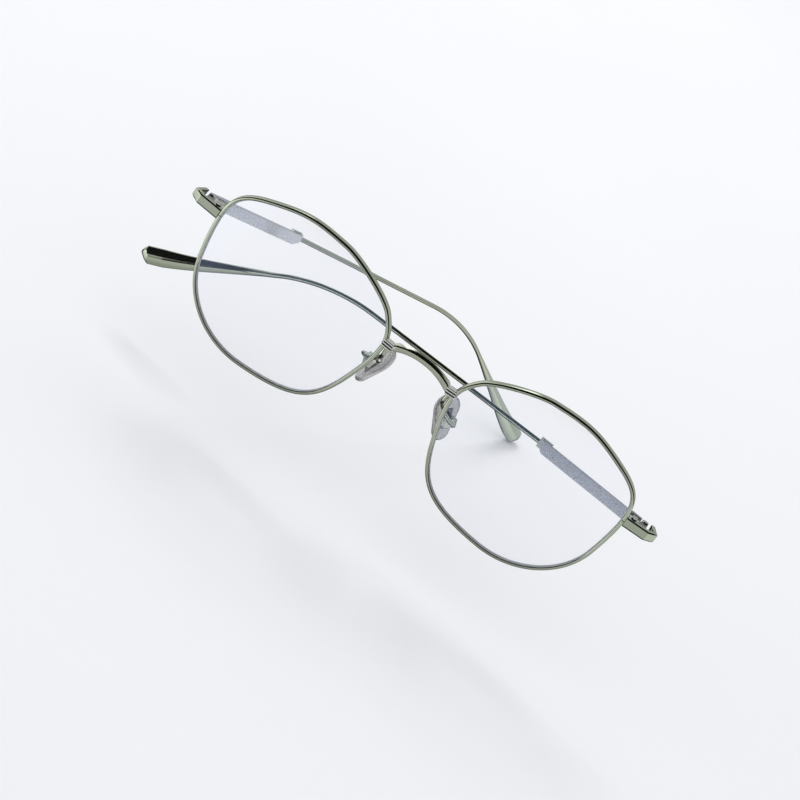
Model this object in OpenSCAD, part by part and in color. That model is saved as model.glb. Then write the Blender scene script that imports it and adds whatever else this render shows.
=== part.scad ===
// Metal eyeglasses with six-cornered lens rims, standing as they lie when being unfolded.
// Frame of the model: +X towards the wearer's left, -Y out of the lens fronts, +Z up.
// The origin is midway between the lenses, at the height of the lens centres.

/* [Lenses] */
// Width of a lens at the rim's centre line
lens_w = 49.6; // [46:0.2:53]
// Height of a lens at the rim's centre line
lens_h = 42.1; // [39:0.1:45]
// Distance between the two lenses
bridge_w = 20.4; // [18.4:0.2:23]
// Radius of the curve that the lenses and rims follow
base_r = 116; // [90:1:200]
// Angle that each lens turns back towards the temples
face_angle = 4.3; // [2:0.1:7]
// Thickness of a lens
lens_t = 1.4; // [1.3:0.1:2.2]

/* [Rims] */
// Width of the rim wire seen from the front
rim_w = 1.2; // [1.1:0.05:1.6]
// Depth of the rim wire from front to back
rim_d = 1.8; // [1.7:0.1:2.3]
// Bevel on the rim wire's edges
rim_bevel = 0.35; // [0.2:0.05:0.4]
// How far the rim wire's outer side leans in towards the front
rim_lean = 0.3; // [0.1:0.05:0.35]
// Depth of the groove that holds the lens
groove_d = 0.45; // [0.3:0.05:0.5]
// Width of the groove that holds the lens
groove_w = 1; // [0.8:0.1:1.1]
// Cut that lets the rim open at its lock
lock_slit = 0.2; // [0.1:0.05:0.4]

/* [Bridge] */
// Height of the bridge bar's middle above the lens centres
bridge_z = 9.95; // [9:0.05:11.5]
// How far the bridge bar's middle stands in front of the origin
bridge_bow = 1.6; // [1:0.1:3]
// Height of the bridge bar's section at its middle
bridge_h = 1.7; // [1.4:0.1:2.2]
// Growth of that height towards the feet
bridge_growth = 0.3; // [0:0.05:0.5]
// Depth of the bridge bar's section
bridge_d = 1.4; // [1.2:0.1:1.8]
// Place of the collars along the upper nose corner of the rims
collar_at = 0.42; // [0.36:0.01:0.5]
// Thickness of one rib of a collar
rib_t = 0.5; // [0.4:0.05:0.7]
// Groove between two ribs of a collar
rib_gap = 0.2; // [0.1:0.05:0.3]
// Depth of the grooves between the ribs
rib_cut = 0.2; // [0.1:0.05:0.25]
// How far a collar stands out in front of and behind the rim wire
rib_out = 0.35; // [0.3:0.05:0.6]
// Reach of a collar from the rim's centre line towards the bridge
collar_reach = 2.2; // [1.8:0.1:2.6]

/* [Nose pads] */
// Distance of the wearer's left pad's centre from the middle
left_pad_x = 11.8; // [10.8:0.1:12.4]
// Distance of the wearer's right pad's centre from the middle
right_pad_x = 9.8; // [9.4:0.1:11.4]
// Distance of the pads' centres behind the origin
pad_y = 6.2; // [5:0.1:9]
// Height of the pads' centres against the lens centres
pad_z = -2.1; // [-3:0.1:-1]
// Length of a pad
pad_l = 12.3; // [11.5:0.1:13.5]
// Width of a pad
pad_w = 7.3; // [6.5:0.1:8]
// Thickness of a pad
pad_t = 2.3; // [2:0.1:3.5]
// Lean of the pads' tops towards each other
pad_lean = 19; // [14:1:22]
// Turn of the wearer's left pad's face towards the wearer
left_splay = 42; // [30:1:45]
// Turn of the wearer's right pad's face towards the wearer
right_splay = 15; // [10:1:30]
// Rock of the wearer's left pad on its screw, top towards the nose, as it lies
left_rock = -1; // [-8:1:8]
// Rock of the wearer's right pad on its screw, top towards the nose, as it lies
right_rock = 1; // [-8:1:8]
// Diameter of the pad arm wire
arm_d = 1; // [0.8:0.1:1.2]
// Diameter of the pad screw
pad_screw_d = 0.8; // [0.6:0.1:1]

/* [Endpieces] */
// Height of the endpieces' middle above the lens centres
endpiece_z = 6.35; // [4:0.05:7]
// Height of an endpiece from top to bottom
endpiece_h = 2.8; // [2.5:0.1:3.4]
// Thickness of an endpiece's wall
endpiece_t = 1.2; // [1:0.1:1.4]
// Length of an endpiece's flat front face
face_l = 6.05; // [5.7:0.05:6.4]
// Sweep of the front face back towards its outer end
face_sweep = 6; // [3:0.5:9]
// Bevel along the endpiece's upper edge
top_bevel = 0.25; // [0.1:0.05:0.4]
// Bevel along the endpiece's lower edge
low_bevel = 0.55; // [0.2:0.05:0.7]
// Diameter of the screw that closes the rim
lock_screw_d = 1.2; // [1:0.1:1.3]

/* [Hinges] */
// Distance of the hinge axis from the outer end of the front face
hinge_in = 1.9; // [1.7:0.05:2.1]
// Distance of the hinge axis behind the front face
hinge_back = 3.5; // [3.4:0.05:3.9]
// Tilt of the hinge axis, top away from the lenses
hinge_tilt = 11.5; // [6:0.5:14]
// Radius of the hinge knuckles
knuckle_r = 0.9; // [0.85:0.01:0.95]
// Height of the whole stack of knuckles
hinge_h = 2.7; // [2.4:0.1:3]
// Diameter of the hinge screw
hinge_screw_d = 1; // [0.8:0.05:1.1]
// Gap between two knuckles of a hinge
knuckle_gap = 0.05; // [0.03:0.01:0.1]

/* [Temples] */
// Angle of the wearer's left temple from flat folded, as it lies
left_fold = 7.8; // [5:0.2:11]
// Angle of the wearer's right temple from flat folded, as it lies
right_fold = 46.6; // [42:0.2:55]
// Length of a temple from hinge axis to tip
temple_l = 145.6; // [140:0.2:150]
// Length of the straight stretch from the hinge to the ear bend
straight_l = 83; // [79:1:87]
// Radius of the ear bend
bend_r = 50; // [44:1:56]
// Angle of the ear bend
bend_angle = 28.6; // [25:0.2:33]
// Slope of the wire below the line of the plate
wire_drop = 1.6; // [0:0.1:2.5]
// Diameter of the temple wire
wire_d = 1.2; // [1:0.1:1.4]
// Distance from the hinge axis to the far end of the temple plate
plate_end = 31.5; // [28:0.5:36]
// Height of the temple plate
plate_h = 3; // [2.7:0.1:3.4]
// Thickness of the temple plate
plate_t = 1; // [0.8:0.1:1.1]
// Length of the thick end of the temple's tip
tip_l = 6; // [4:0.5:12]
// Height of the paddle
tip_h = 4.4; // [3.6:0.1:5]
// Thickness of the paddle
tip_t = 2.6; // [2:0.1:3.2]

/* [Hidden] */
$fn = 40;
metal = [0.62, 0.67, 0.57];
bright = [0.75, 0.77, 0.74];
fit = 0.03;   // running clearance round a pin
seat = 0.02;  // clearance between soldered or seated faces
over = 1;     // reach of a cutter past what it cuts

// Corners of the lens outline, as shares of its width and height, with how sharp each one is.
// They run from the upper temple corner over the brow to the nose and along the bottom.
corners = [
  [0.538, 0.301, 1.74], [0.126, 0.518, 1.68], [-0.316, 0.478, 0.46],
  [-0.54, 0.185, 1.56], [-0.362, -0.453, 1.56], [0.408, -0.538, 0.73]
];
corner_steps = 12;
lens_x = (lens_w + bridge_w) / 2;
datum_r = 20; // distance from the lens centre at which the lens curve crosses the lens plane

function corner(i) = let (c = corners[(i + 6) % 6]) [c[0] * lens_w, c[1] * lens_h];
function sharpness(i) = corners[i % 6][2];
function middle(i) = (corner(i) + corner(i + 1)) / 2;
function conic(a, b, c, w, t) =
  (pow(1 - t, 2) * a + 2 * t * (1 - t) * w * b + t * t * c) / (pow(1 - t, 2) + 2 * t * (1 - t) * w + t * t);
function outline_point(i, t) = conic(middle(i - 1), corner(i), middle(i), sharpness(i), t);
outline = [for (i = [0:5]) for (k = [0:corner_steps - 1]) outline_point(i, k / corner_steps)];

function unit(v) = v / norm(v);
function bezier(p, t) =
  pow(1 - t, 3) * p[0] + 3 * t * pow(1 - t, 2) * p[1] + 3 * t * t * (1 - t) * p[2] + pow(t, 3) * p[3];
function wrap(list, i) = list[(i + len(list)) % len(list)];
function lens_depth(p) = (p * p - datum_r * datum_r) / (2 * base_r);
// Turns a vector or a point of the lens plane by the face angle.
function face_turn(v) = [
  v[0] * cos(face_angle) - v[1] * sin(face_angle),
  v[0] * sin(face_angle) + v[1] * cos(face_angle),
  v[2]
];
function lens_point(p) = [lens_x, 0, 0] + face_turn([p[0], lens_depth(p), p[1]]);
function lens_slope(p, d) = face_turn(unit([d[0], (p * d) / base_r, d[1]]));
// Point, direction along the rim, direction away from the lens and direction backwards.
function rim_frame(p, along) = let (
  t = lens_slope(p, along),
  o = lens_slope(p, [along[1], -along[0]]),
  b = unit(cross(t, o)),
  n = b[1] > 0 ? b : -b
) [lens_point(p), t, unit(o - (o * t) * t), n];
function rim_along(i) = unit(wrap(outline, i + 1) - wrap(outline, i - 1));
function rim_ring(i, section) = let (f = rim_frame(outline[i], rim_along(i)))
  [for (s = section) f[0] + s[0] * f[2] + s[1] * f[3]];

rim_section = [
  [rim_w / 2, rim_d * 0.3], [rim_w / 2 - rim_lean, -rim_d / 2 + rim_bevel * 0.7],
  [rim_w / 2 - rim_lean - rim_bevel * 0.7, -rim_d / 2],
  [-rim_w / 2 + rim_bevel * 0.8, -rim_d / 2], [-rim_w / 2, -rim_d / 2 + rim_bevel * 0.8],
  [-rim_w / 2, -groove_w / 2], [-rim_w / 2 + groove_d, 0], [-rim_w / 2, groove_w / 2],
  [-rim_w / 2, rim_d / 2 - rim_bevel / 2], [-rim_w / 2 + rim_bevel / 2, rim_d / 2],
  [rim_w / 2 - rim_bevel, rim_d / 2], [rim_w / 2, rim_d / 2 - rim_bevel]
];

// Where the rim carries the endpiece: the outermost point of the outline at that height.
lock_point = [lens_w / 2, endpiece_z];
lock_frame = rim_frame(lock_point, [0, 1]);
face_x = max([for (i = [0:len(outline) - 1]) each [for (q = rim_ring(i, rim_section)) q[0]]]) + seat;
face_out = 0.15;    // how far the endpiece's front face stands in front of the rim
face_y = lock_frame[0][1] - rim_d / 2 - face_out;
outer_x = face_x + face_l;
outer_y = face_y + face_l * tan(face_sweep);
hook_w = 2.2;       // reach of the hook past the front face, sideways
hook_d = 1.9;       // and backwards, to its outermost corner
hook_end_x = 0.9;   // where the hook's far end lies past the front face, sideways
hook_end_y = 4.6;   // and backwards
hook_in = 0.6;      // how far the inner corner lies before the outer one
hook_thin = 0.1;    // growth of the hook's wall sideways at its outermost corner
hook_round = 0.4;   // how far that corner's inner side lies behind its outer side
lock_l = 2.8;       // length of the lock blocks along the endpiece
lock_depth = 2.1;   // from the front face's outer end back to the lock's rear
lock_x1 = face_x + lock_l;
lock_back = outer_y + lock_depth;
lock_screw_x = face_x + lock_l / 2;
function wall_y(x) = face_y + endpiece_t + (x - face_x) * tan(face_sweep);
lock_screw_y = (wall_y(lock_screw_x) + lock_back) / 2;
lock_lip = 0.25;    // how far the lock screw's head stands out all round
lock_head_r = lock_screw_d / 2 + lock_lip;
lock_head_t = 0.3;
endpiece_low = endpiece_z - endpiece_h / 2;
endpiece_up = endpiece_z + endpiece_h / 2;

hinge_x = outer_x - hinge_in;
hinge_y = outer_y + hinge_back;
hinge_drop = 0.3;   // the hinge's middle below the endpiece's middle
hinge_z = endpiece_z - hinge_drop;
knuckle_h = (hinge_h - 2 * knuckle_gap) / 3;
head_lip = 0.3;     // how far a hinge or pad screw's head stands out all round
head_r = hinge_screw_d / 2 + head_lip;
head_t = 0.4;
slot_w = 0.25;
plate_side = 0.05;  // between the knuckle's side and the plate's inner face
plate_gap = 0.3;    // between the knuckle's back and the plate's near end
butt_gap = 0.25;    // between the open temple's end and the hook
plate_in = knuckle_r + plate_side;
plate_start = knuckle_r + plate_gap;
leaf_l = 4.4;
leaf_t = 0.35;
leaf_margin = 0.4;  // the leaf's edges inside the plate's
leaf_h = plate_h - 2 * leaf_margin;
boss_l = 3.4;
boss_t = 0.4;
boss_margin = 0.3;  // the boss's edges inside the plate's
corner_cut = 1.6;   // size of the plate's cut-off corner
ferrule_l = 3.2;
ferrule_h = 2.6;
ferrule_past = 0.5; // how far the ferrule reaches past the plate's end
wire_bed = 0.1;     // metal beside the wire in the ferrule
ferrule_t = wire_d + wire_bed;
wire_n = plate_in + plate_t + ferrule_t / 2;
wire_u = plate_end - ferrule_l / 2; // where the sloping wire starts
wire_a = 0.3;
wire_run = straight_l - wire_u;
bend_l = bend_r * bend_angle * PI / 180;
neck_l = temple_l - straight_l - bend_l - tip_l;
point_l = 1.8;      // length of the tip's point
lift_l = 17;        // length of the tip's last stretch that lifts again
lift_curve = 0.0035;
lift_from = neck_l + tip_l - lift_l;

// Closed tube through rings of points, wound so that its faces point outwards.
module ring_tube(rings) {
  n = len(rings);
  m = len(rings[0]);
  polyhedron(
    points = [for (r = rings) each r],
    faces = [
      for (i = [0:n - 1]) for (j = [0:m - 1])
        let (k = (j + 1) % m, i2 = (i + 1) % n, a = i * m + j, b = i * m + k, c = i2 * m + k, d = i2 * m + j)
          each [[a, b, c], [a, c, d]]
    ]
  );
}

// Open tube through rings of points, closed by a flat face at each end.
module rod_tube(rings) {
  n = len(rings);
  m = len(rings[0]);
  polyhedron(
    points = [for (r = rings) each r],
    faces = [
      [for (j = [m - 1:-1:0]) j],
      [for (j = [0:m - 1]) (n - 1) * m + j],
      for (i = [0:n - 2]) for (j = [0:m - 1])
        let (a = i * m + j, b = i * m + (j + 1) % m, c = (i + 1) * m + (j + 1) % m, d = (i + 1) * m + j)
          each [[a, b, c], [a, c, d]]
    ]
  );
}

// Places a shape drawn along a frame's own axes: x along, y outwards, z backwards.
module on_frame(f) {
  multmatrix([
    [f[1][0], f[2][0], f[3][0], f[0][0]],
    [f[1][1], f[2][1], f[3][1], f[0][1]],
    [f[1][2], f[2][2], f[3][2], f[0][2]],
    [0, 0, 0, 1]
  ]) children();
}

module mirrored(side) {
  if (side == "left") children();
  else mirror([1, 0, 0]) children();
}

// Rims: one grooved wire round each lens, open at the lock.
module rim(side) {
  color(metal) mirrored(side) difference() {
    ring_tube([for (i = [0:len(outline) - 1]) rim_ring(i, rim_section)]);
    translate([face_x - rim_w - over, 0, endpiece_z - lock_slit / 2])
      cube([rim_w + 2 * over, 4 * rim_d, lock_slit]);
  }
}

// Lens: curved front and back, with a bevel round its edge that sits in the rim's groove.
lens_edge = rim_w / 2 + seat;
lens_ease = 0.1;    // eased corner between a lens face and its edge
bevel_clear = 0.12; // between the bevel's ridge and the bottom of the groove
lens_section = [
  [-lens_edge, -lens_t / 2 + lens_ease], [-lens_edge, -groove_w / 2 + lens_ease],
  [-rim_w / 2 + groove_d - bevel_clear, 0],
  [-lens_edge, groove_w / 2 - lens_ease], [-lens_edge, lens_t / 2 - lens_ease]
];
lens_scales = [0.3, 0.6, 0.85]; // rings on the lens faces, as shares of the outline
last_scale = 0.99;
function lens_ring(s, back) = [
  for (i = [0:len(outline) - 1])
    let (
      along = rim_along(i),
      f = rim_frame(outline[i], along),
      p = s * (outline[i] - lens_edge * [along[1], -along[0]])
    ) lens_point(p) + back * f[3]
];
function edge_ring(j) = [for (i = [0:len(outline) - 1]) rim_ring(i, lens_section)[j]];
module lens(side) {
  half = lens_t / 2;
  rings = concat(
    [for (s = lens_scales) lens_ring(s, -half)],
    [lens_ring(last_scale, -half)],
    [for (j = [0:4]) edge_ring(j)],
    [lens_ring(last_scale, half)],
    [for (k = [2:-1:0]) lens_ring(lens_scales[k], half)]
  );
  color([0.85, 0.89, 0.92, 0.4]) mirrored(side) rod_tube(rings);
}

// Bridge: a ridged bar that arches from one collar to the other.
collar_along = unit([0.1, -1]);
collar_frame = rim_frame(outline_point(3, collar_at), collar_along);
collar_w = 3 * rib_t + 2 * rib_gap;
foot_rise = 0.35;   // how far the bar's foot stands above the collar's upper end
foot_front = 0.2;   // how far the foot lies towards the front, as a share of its depth
foot_up = collar_w / 2 - bridge_h * (1 + bridge_growth) / 2 + foot_rise;
foot = collar_frame[0] + (collar_reach + seat) * collar_frame[2] - foot_up * collar_frame[1]
  - bridge_d * foot_front * collar_frame[3];
bridge_steps = 20;
function bridge_point(u) = [
  -foot[0] * u,
  foot[1] + (-bridge_bow - foot[1]) * (1 - u * u),
  bridge_z + (foot[2] - bridge_z) * pow(abs(u), 2.2)
];
// Over the last part of each side the bar turns until its end lies flat on the collar's face.
foot_from = 0.8;    // where that turn begins, as a share of the half length
function bridge_dir(u) = let (
  o = collar_frame[2],
  share = max(0, (abs(u) - foot_from) / (1 - foot_from)),
  out = u < 0 ? o : [o[0], -o[1], -o[2]]
) unit((1 - share) * unit(bridge_point(u + 0.01) - bridge_point(u - 0.01)) + share * out);
// Section of the bar as shares of its height and depth: front face, bevel, sloping top, back.
bridge_section = [[-0.42, 0.5], [0.58, 0.5], [0.42, -0.3], [0.26, -0.5], [-0.36, -0.5]];
function bridge_ring(k) = let (
  u = -1 + 2 * k / bridge_steps,
  t = bridge_dir(u),
  w = unit([0, 1, 0] - t[1] * t),
  v = cross(w, t),
  h = bridge_h * (1 + bridge_growth * u * u)
) [for (q = bridge_section) bridge_point(u) + q[0] * h * v + q[1] * bridge_d * w];
module bridge() {
  color(metal) rod_tube([for (k = [0:bridge_steps]) bridge_ring(k)]);
}

// Collar: a ribbed block that clasps the rim on its nose side and carries the bridge's foot.
rim_cutter = [
  [rim_w / 2 + seat, rim_d * 0.3], [rim_w / 2 - rim_lean + seat, -rim_d / 2 + rim_bevel * 0.7],
  [rim_w / 2 - rim_lean - rim_bevel * 0.7, -rim_d / 2 - seat],
  [-rim_w, -rim_d / 2 - seat], [-rim_w, rim_d / 2 + seat],
  [rim_w / 2 - rim_bevel, rim_d / 2 + seat], [rim_w / 2 + seat, rim_d / 2 - rim_bevel]
];
module collar(side) {
  deep = rim_d + 2 * rib_out;
  long = collar_reach + rim_w / 2;
  bevel = 0.2;
  first = 3 * corner_steps;
  color(bright) mirrored(side) difference() {
    on_frame(collar_frame) rotate([90, 0, 90]) difference() {
      translate([-rim_w / 2, -deep / 2, -collar_w / 2]) linear_extrude(collar_w) polygon([
        [0, bevel], [bevel, 0], [long - bevel, 0], [long, bevel],
        [long, deep - bevel], [long - bevel, deep], [bevel, deep], [0, deep - bevel]
      ]);
      for (k = [-1, 1]) translate([0, 0, k * (rib_t + rib_gap) / 2]) difference() {
        cube([2 * long + over, deep + over, rib_gap], center = true);
        translate([-rim_w, -deep / 2 + rib_cut, -rib_gap])
          cube([long + rim_w / 2 - rib_cut, deep - 2 * rib_cut, 2 * rib_gap]);
      }
    }
    rod_tube([for (i = [first:first + corner_steps - 1]) rim_ring(i, rim_cutter)]);
  }
}

// Places a shape drawn on a pad's own axes: x out of its face, y across it, z along it.
function pad_splay(side) = side == "left" ? left_splay : right_splay;
function pad_centre(side) = [side == "left" ? left_pad_x : right_pad_x, pad_y, pad_z];
module pad_frame(side) {
  mirrored(side) translate(pad_centre(side)) rotate([0, -pad_lean, 0])
    rotate([0, 0, 180 - pad_splay(side)]) children();
}
// The same for the pad and its core, which rock on the pad screw.
module rocked_frame(side) {
  pad_frame(side) translate([pin_x, 0, 0]) rotate([0, side == "left" ? left_rock : right_rock, 0])
    translate([-pin_x, 0, 0]) children();
}
box_back = 2.6;     // from the pad's back to the box's back
box_clear = 0.4;    // between the pad's back and the box
box_w = 3.2;
box_h = 2.2;
tang_w = 1.1;
tang_r = 0.75;      // half the tang's height, and its round end
tang_room = 0.9;    // from the pad screw's axis back to the end of the box's slot
pin_x = -1.2;       // the pad screw's axis, from the pad's back
pad_slot_w = 0.2;
core_l = 5.4;
core_w = 3;
core_t = 0.6;
core_sink = 0.5;    // depth of the pad's pocket for the core
function pad_facing(side) = let (a = pad_splay(side), b = pad_lean)
  [-cos(a) * cos(b), sin(a), -cos(a) * sin(b)];

// Pad arm: a wire soldered along the nose side of the rim that loops back to the pad's box.
arm_aside = 0.3;    // between the rim wire's side and the arm
arm_behind = 0.1;   // how far the arm starts behind the rim's centre line
arm_start = [-0.1, 0, -1.8];   // the arm's first stretch, down from the collar
arm_loop = 4.2;                // how wide the loop swings out behind the box
arm_swing = [-0.5, 1.4, -3.4]; // how the arm leaves the rim, down and backwards
arm_top = collar_frame[0] + (collar_w / 2 + seat) * collar_frame[1]
  + ((rim_w + arm_d) / 2 + arm_aside) * collar_frame[2] + arm_behind * collar_frame[3];
arm_low = arm_top + arm_start;
arm_sides = 10;
arm_steps = 14;
function arm_curve(side) = let (end = pad_centre(side) - (box_back + seat) * pad_facing(side))
  [arm_low, arm_low + arm_swing, end - arm_loop * pad_facing(side), end];
function arm_dir(side, t) = let (e = 0.01, c = arm_curve(side))
  t <= 0 ? [0, 0, -1] : t >= 1 ? pad_facing(side) : unit(bezier(c, t + e) - bezier(c, t - e));
function disc(c, t, r) = let (w = unit([0.3, 1, 0.2] - ([0.3, 1, 0.2] * t) * t), v = cross(t, w))
  [for (k = [0:arm_sides - 1]) c + r * (cos(360 * k / arm_sides) * v + sin(360 * k / arm_sides) * w)];
module pad_arm(side) {
  rings = concat(
    [disc(arm_top, collar_frame[1], arm_d / 2)],
    [for (k = [0:arm_steps]) let (t = k / arm_steps)
      disc(bezier(arm_curve(side), t), arm_dir(side, t), arm_d / 2)]
  );
  color(metal) mirrored(side) rod_tube(rings);
}

// Pad box: two cheeks that hold the pad's tang, with the screw through them.
module pad_box(side) {
  color(bright) pad_frame(side) difference() {
    translate([-box_back, -box_w / 2, -box_h / 2]) cube([box_back - box_clear, box_w, box_h]);
    translate([pin_x - tang_room, -tang_w / 2 - seat, -box_h / 2 - over])
      cube([box_back, tang_w + 2 * seat, box_h + 2 * over]);
    translate([pin_x, 0, 0]) rotate([90, 0, 0])
      cylinder(h = box_w + over, d = pad_screw_d + 2 * fit, center = true);
  }
}

// Pad core: a metal plate set into the pad, with a tang that turns on the screw.
module pad_core(side) {
  color(bright) rocked_frame(side) difference() {
    union() {
      translate([core_sink - core_t, -core_w / 2, -core_l / 2]) cube([core_t, core_w, core_l]);
      translate([pin_x, -tang_w / 2 + seat, -tang_r]) cube([-pin_x, tang_w - 2 * seat, 2 * tang_r]);
      translate([pin_x, 0, 0]) rotate([90, 0, 0]) cylinder(h = tang_w - 2 * seat, r = tang_r, center = true);
    }
    translate([pin_x, 0, 0]) rotate([90, 0, 0]) cylinder(h = box_w, d = pad_screw_d + 2 * fit, center = true);
  }
}

// Nose pad: a crowned drop-shaped cushion, narrower at its foot, with a pocket for the core.
// Its outline is drawn in at the back, widest at its side and drawn in again towards the crown.
back_inset = 0.5;
shoulder_inset = 0.7;
crown_inset = 1.9;
side_from = 0.5;    // where the widest part begins, from the pad's back
skin = 0.05;        // thickness of the thin layers that the cushion is spanned over
low_share = 0.34;   // radius of the pad's foot, as a share of its width
module nose_pad(side) {
  low_r = pad_w * low_share;
  top_r = pad_w / 2;
  module drop(inset, x, t) translate([x, 0, 0]) {
    translate([0, 0, -pad_l / 2 + low_r]) rotate([0, 90, 0]) cylinder(h = t, r = low_r - inset, $fn = 32);
    translate([0, 0, pad_l / 2 - top_r]) rotate([0, 90, 0]) cylinder(h = t, r = top_r - inset, $fn = 32);
  }
  color([0.62, 0.61, 0.62, 0.7]) rocked_frame(side) difference() {
    hull() {
      drop(back_inset, 0, 2 * skin);
      drop(0, side_from, pad_t * 0.35);
      drop(shoulder_inset, pad_t * 0.82, skin);
      drop(crown_inset, pad_t - skin, skin);
    }
    translate([-over, -core_w / 2 - seat, -core_l / 2 - seat])
      cube([core_sink + over + seat, core_w + 2 * seat, core_l + 2 * seat]);
  }
}

module pad_screw(side) {
  pad_frame(side) translate([pin_x, 0, 0]) rotate([90, 0, 0]) difference() {
    union() {
      translate([0, 0, -box_w / 2]) cylinder(h = box_w + 2 * seat, d = pad_screw_d);
      translate([0, 0, box_w / 2 + seat]) cylinder(h = head_t, r = pad_screw_d / 2 + head_lip);
    }
    translate([0, 0, box_w / 2 + head_t]) cube([2 * pad_screw_d, pad_slot_w, head_t], center = true);
  }
}
module pad_screws() {
  color(bright) {
    pad_screw("left");
    pad_screw("right");
  }
}

module hinge_frame(side, turn) {
  mirrored(side) translate([hinge_x, hinge_y, hinge_z]) rotate([-hinge_tilt, 0, 0])
    rotate([0, 0, turn]) children();
}

// Endpiece: a facetted strip that runs outwards from the rim and hooks back round the hinge.
// Its stations run along the strip, each from its outer face to its inner face.
endpiece_stations = [
  [[face_x, face_y], [face_x, wall_y(face_x)]],
  [[outer_x, outer_y], [outer_x - hook_in, wall_y(outer_x - hook_in)]],
  [
    [outer_x + hook_w, outer_y + hook_d],
    [outer_x + hook_w - endpiece_t - hook_thin, outer_y + hook_d + hook_round]
  ]
];
// Section of the strip: share of the wall from outside to inside, height.
endpiece_section = [
  [0, endpiece_up - top_bevel], [top_bevel / endpiece_t, endpiece_up], [1, endpiece_up],
  [1, endpiece_low], [low_bevel / endpiece_t, endpiece_low], [0, endpiece_low + low_bevel]
];
// The strip ends on a plane that leans with the hinge, just short of the open temple's end.
function hook_end(q) = let (
  y = hinge_y + (plate_start - butt_gap + (q[1] - hinge_z) * sin(hinge_tilt)) / cos(hinge_tilt),
  a = endpiece_stations[2][0],
  slope = (hook_end_x - hook_w) / (hook_end_y - hook_d)
) [a[0] + (y - a[1]) * slope - q[0] * endpiece_t, y, q[1]];
module endpiece(side) {
  rings = concat(
    [for (e = endpiece_stations) [for (q = endpiece_section) [each e[0] + q[0] * (e[1] - e[0]), q[1]]]],
    [[for (q = endpiece_section) hook_end(q)]]
  );
  color(metal) mirrored(side) rod_tube(rings);
}

// Rim lock: an upper and a lower block on the rim's two ends, closed by one screw.
module lock_block(side, z0, z1, hole_r) {
  mirrored(side) difference() {
    translate([0, 0, z0]) linear_extrude(z1 - z0) polygon([
      [face_x, wall_y(face_x) + seat], [lock_x1, wall_y(lock_x1) + seat],
      [lock_x1, lock_back], [face_x, lock_back]
    ]);
    translate([lock_screw_x, lock_screw_y, z0 - over]) cylinder(h = z1 - z0 + 2 * over, r = hole_r);
  }
}
module lock_upper(side) {
  color(bright) lock_block(side, endpiece_z + lock_slit / 2, endpiece_up, lock_screw_d / 2 + fit);
}
module lock_lower(side) {
  color(bright) lock_block(side, endpiece_low, endpiece_z - lock_slit / 2, lock_screw_d / 2 + fit);
}
module lock_screw(side) {
  mirrored(side) translate([lock_screw_x, lock_screw_y, endpiece_low]) difference() {
    union() {
      cylinder(h = endpiece_h + 2 * seat, d = lock_screw_d);
      translate([0, 0, endpiece_h + seat]) cylinder(h = lock_head_t, r = lock_head_r);
    }
    translate([0, 0, endpiece_h + lock_head_t])
      cube([2 * lock_head_r + over, slot_w, lock_head_t], center = true);
  }
}
module lock_screws() {
  color(bright) {
    lock_screw("left");
    lock_screw("right");
  }
}

// Hinge, front half: a block soldered inside the endpiece, with the upper and the lower knuckle.
base_gap = 0.15;    // between the lock and the hinge's block
base_reach = 0.75;  // how far the block reaches past the hinge axis
base_clear = 0.1;   // between the block's back and the knuckles
base_top = 0.1;     // the block's top below the endpiece's
web = 0.7;          // half the width of the web that carries the knuckles
web_root = 0.6;     // how far the web reaches into the block
sweep_gap = 0.12;   // room round the turning knuckle
base_x0 = lock_x1 + base_gap;
base_x1 = hinge_x + base_reach;
base_back = hinge_y - knuckle_r - base_clear;
module hinge_front(side) {
  color(bright) difference() {
    union() {
      mirrored(side) translate([0, 0, endpiece_low + low_bevel])
        linear_extrude(endpiece_h - low_bevel - base_top) polygon([
          [base_x0, wall_y(base_x0) + seat], [base_x1, wall_y(base_x1) + seat],
          [base_x1, base_back], [base_x0, base_back]
        ]);
      hinge_frame(side, 0) difference() {
        translate([0, 0, -hinge_h / 2]) {
          cylinder(h = hinge_h, r = knuckle_r);
          translate([-web, -knuckle_r - web_root, 0]) cube([2 * web, knuckle_r + web_root, hinge_h]);
        }
        cylinder(h = knuckle_h + 2 * knuckle_gap, r = knuckle_r + sweep_gap, center = true);
      }
    }
    hinge_frame(side, 0) cylinder(h = 3 * hinge_h, d = hinge_screw_d + 2 * fit, center = true);
    hinge_frame(side, 0) cylinder(h = knuckle_h + 2 * knuckle_gap, r = knuckle_r + sweep_gap, center = true);
  }
}

// Temples are drawn open: y along the arm, x outwards, z up, with the hinge axis at the origin.
module temple_frame(side) {
  hinge_frame(side, 90 - (side == "left" ? left_fold : right_fold)) children();
}

// Hinge, temple half: the middle knuckle and the leaf that is soldered inside the plate.
tongue_in = 0.15;   // the tongue's outer side inside the plate's inner face
tongue_past = 0.4;  // how far the tongue reaches past the plate's near end
module hinge_temple(side) {
  color(bright) temple_frame(side) difference() {
    union() {
      cylinder(h = knuckle_h, r = knuckle_r, center = true);
      translate([0, 0, -knuckle_h / 2 + seat])
        cube([plate_in - tongue_in, plate_start + tongue_past, knuckle_h - 2 * seat]);
      translate([plate_in - leaf_t, plate_start, -leaf_h / 2]) cube([leaf_t - seat, leaf_l, leaf_h]);
    }
    cylinder(h = hinge_h, d = hinge_screw_d + 2 * fit, center = true);
  }
}

module hinge_screw(side) {
  hinge_frame(side, 0) difference() {
    union() {
      translate([0, 0, -hinge_h / 2]) cylinder(h = hinge_h + 2 * seat, d = hinge_screw_d);
      translate([0, 0, hinge_h / 2 + seat]) cylinder(h = head_t, r = head_r);
    }
    translate([0, 0, hinge_h / 2 + head_t]) cube([2 * head_r + over, slot_w, head_t], center = true);
  }
}
module hinge_screws() {
  color(bright) {
    hinge_screw("left");
    hinge_screw("right");
  }
}

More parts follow.
